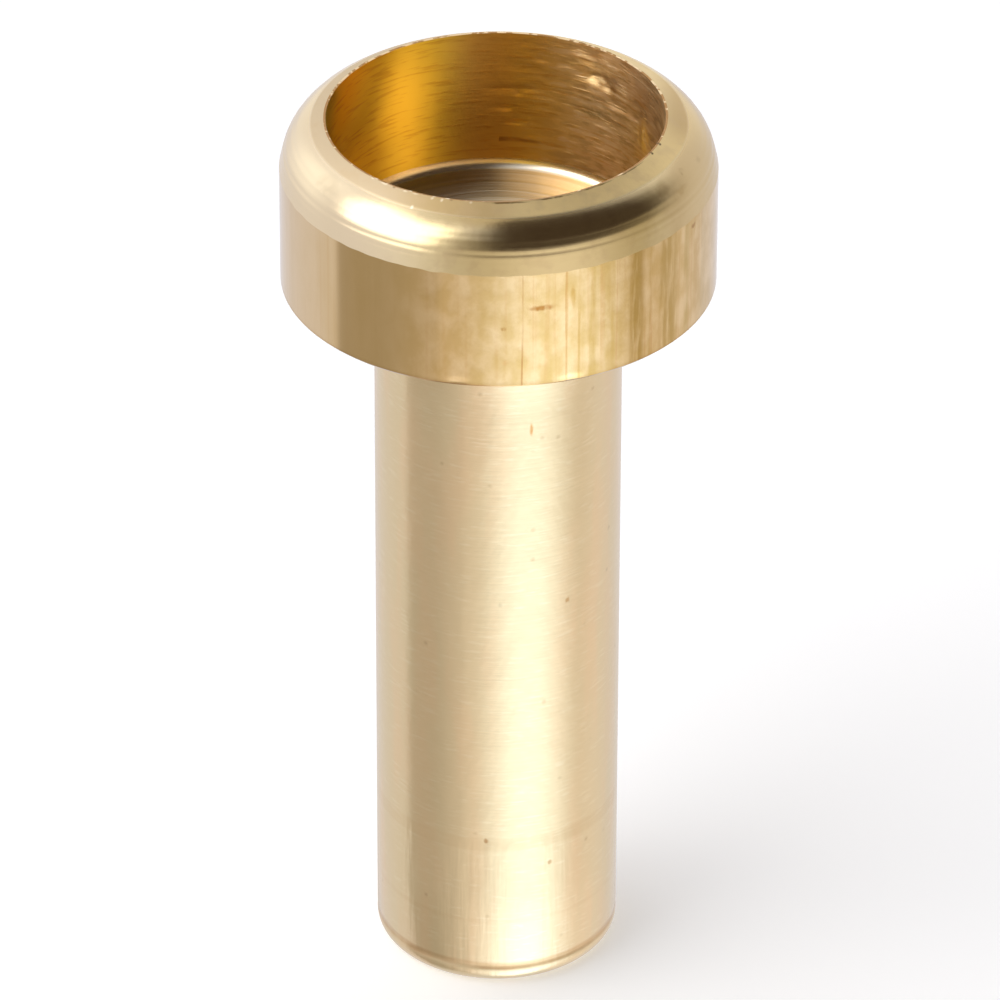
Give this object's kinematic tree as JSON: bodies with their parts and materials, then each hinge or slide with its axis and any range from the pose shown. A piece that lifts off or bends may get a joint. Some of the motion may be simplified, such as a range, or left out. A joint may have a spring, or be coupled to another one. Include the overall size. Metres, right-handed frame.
{
  "type": "solder nipple",
  "caption": "Turned brass solder nipple: a cup-shaped round head on a straight hollow shank, for the soldered end of a control cable.",
  "frame": {"origin": "centre of the shank's end face, on which the part stands", "axes": "+Z along the nipple's axis, from the shank's end to the cup's mouth; the part is the same all round"},
  "size_m": [0.007, 0.007, 0.0155],
  "materials": {
    "turned_brass": "fine-turned brass, with the drawn bar's skin left on the head's side"
  },
  "bodies": {
    "root": {"nipple_body": "turned_brass"}
  },
  "joints": []
}
